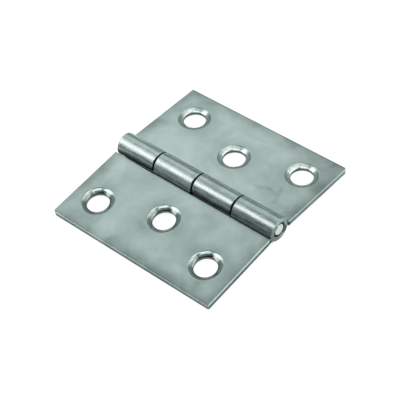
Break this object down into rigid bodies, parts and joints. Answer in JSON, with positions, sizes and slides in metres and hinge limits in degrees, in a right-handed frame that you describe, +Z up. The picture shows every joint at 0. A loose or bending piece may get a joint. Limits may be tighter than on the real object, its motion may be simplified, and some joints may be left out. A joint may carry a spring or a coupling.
{
  "type": "butt hinge",
  "caption": "Butt hinge in bright zinc-plated steel: pressed leaves with countersunk, staggered screw holes, rolled knuckles and a plain pin.",
  "frame": {"origin": "on the pin's axis, halfway along the leaves", "axes": "+X along the pin, +Z up out of the countersunk faces, +Y across the hinge towards the back leaf"},
  "size_m": [0.06, 0.0632, 0.0074],
  "materials": {
    "zinc_front": "bright zinc plated, softly mottled",
    "zinc_back": "bright zinc plated, softly mottled",
    "pin_steel": "bright cut steel"
  },
  "bodies": {
    "front": {"front_leaf": "zinc_front", "hinge_pin": "pin_steel"},
    "back": {"back_leaf": "zinc_back"}
  },
  "joints": [
    {"name": "leaf_swing", "type": "hinge", "parent": "front", "child": "back", "pos_m": [0, 0, 0], "axis": [1, 0, 0], "range_deg": [-120, 187.3]}
  ]
}
